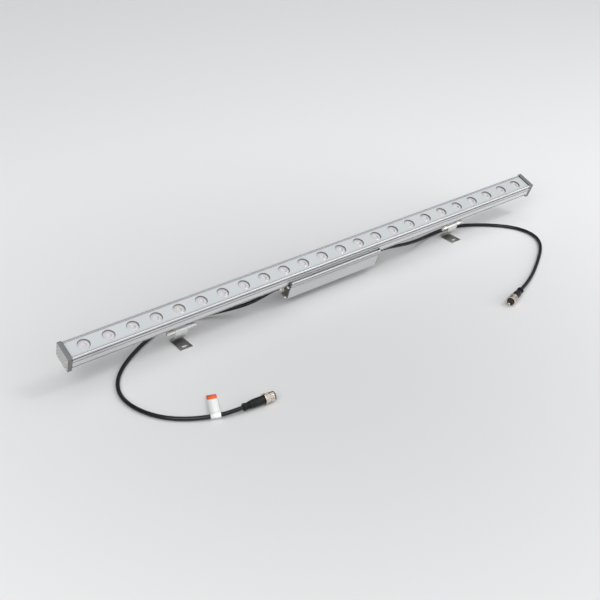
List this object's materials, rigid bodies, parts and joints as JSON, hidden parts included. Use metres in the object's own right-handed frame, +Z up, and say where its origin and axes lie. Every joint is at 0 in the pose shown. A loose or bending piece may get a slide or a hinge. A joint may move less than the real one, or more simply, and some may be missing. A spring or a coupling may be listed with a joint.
{
  "type": "led floodlight",
  "caption": "Slim linear LED floodlight bar with a row of lenses, a driver box under its middle, tilting strip feet and two cables ending in a plug and a socket.",
  "frame": {"origin": "midway between the mounting slots of the two feet, on the mounting surface", "axes": "+X along the bar from the plug cable's end to the socket cable's end, +Y to the back, away from the cables' ends, +Z up from the mounting surface"},
  "size_m": [1.0012, 0.3049, 0.0787],
  "materials": {
    "anodised_aluminium": "satin anodised extrusion with fine ridges",
    "panel_grey": "satin pale blue-grey plate",
    "seal_black": "matt silicone",
    "seal_red": "matt red silicone",
    "tray_bronze": "dark bronze moulding",
    "lens_clear": "clear optical moulding",
    "led_yellow": "phosphor face",
    "board_white": "white solder mask",
    "cap_grey": "moulded grey, lightly satin",
    "stainless_screws": "turned stainless steel",
    "driver_aluminium": "satin anodised extrusion with fine ridges",
    "end_plate_grey": "dark grey satin",
    "board_green": "green solder mask",
    "transformer_tan": "taped winding",
    "capacitor_black": "sleeved can",
    "wire_red": "insulated lead",
    "gland_nickel": "nickel plated, warm",
    "stainless_strip": "bent stainless strip, fine brushed",
    "stainless_bolt": "stainless hardware",
    "cable_black": "black rubber sheath, slight sheen",
    "tag_paper": "white label paper with a plain orange band",
    "connector_black": "black overmoulding",
    "insert_black": "black insert",
    "insert_grey": "grey insert",
    "contact_copper": "copper-coloured contacts",
    "coupling_nickel": "nickel plated"
  },
  "bodies": {
    "lamp": {"housing": "anodised_aluminium", "front_panel": "panel_grey", "panel_gasket": "seal_black", "lens_tray": "tray_bronze", "lenses": "lens_clear", "leds": "led_yellow", "led_board_left": "board_white", "led_board_right": "board_white", "end_cap_left": "cap_grey", "end_cap_right": "cap_grey", "cap_gasket_left": "seal_black", "cap_gasket_right": "seal_black", "end_cap_screws": "stainless_screws", "driver_box": "driver_aluminium", "driver_end_left": "end_plate_grey", "driver_end_right": "end_plate_grey", "driver_end_screws": "stainless_screws", "driver_box_screws": "stainless_screws", "driver_board": "board_green", "driver_transformer": "transformer_tan", "driver_capacitors": "capacitor_black", "feed_wires": "wire_red", "gland_left": "gland_nickel", "gland_right": "gland_nickel", "gland_lock_nuts": "gland_nickel", "clip_screws": "stainless_screws", "bracket_clip_left": "stainless_strip", "bracket_clip_right": "stainless_strip", "hinge_bolt_left": "stainless_bolt", "hinge_bolt_right": "stainless_bolt", "hinge_nuts": "stainless_bolt", "hinge_washers": "stainless_bolt", "cable_left": "cable_black", "cable_right": "cable_black", "cable_tag": "tag_paper", "plug_body": "connector_black", "plug_insert": "insert_black", "plug_pins": "contact_copper", "plug_seal": "seal_black", "socket_seal": "seal_red", "socket_body": "connector_black", "socket_insert": "insert_grey", "socket_contacts": "contact_copper"},
    "left_foot": {"foot_left": "stainless_strip"},
    "right_foot": {"foot_right": "stainless_strip"},
    "plug_coupling": {"plug_nut": "coupling_nickel"},
    "socket_coupling": {"socket_nut": "coupling_nickel"}
  },
  "joints": [
    {"name": "left_foot_tilt", "type": "hinge", "parent": "lamp", "child": "left_foot", "pos_m": [-0.301, 0.0088, 0.028], "axis": [1, 0, 0], "range_deg": [-70, 80]},
    {"name": "right_foot_tilt", "type": "hinge", "parent": "lamp", "child": "right_foot", "pos_m": [0.301, 0.0088, 0.028], "axis": [1, 0, 0], "range_deg": [-70, 80]},
    {"name": "plug_nut_turn", "type": "hinge", "parent": "lamp", "child": "plug_coupling", "pos_m": [-0.3215, -0.1956, 0.0087], "axis": [0.9973, -0.0732, 0], "continuous": true},
    {"name": "socket_nut_turn", "type": "hinge", "parent": "lamp", "child": "socket_coupling", "pos_m": [0.2464, -0.2145, 0.0087], "axis": [-0.9426, -0.3338, 0], "continuous": true}
  ]
}
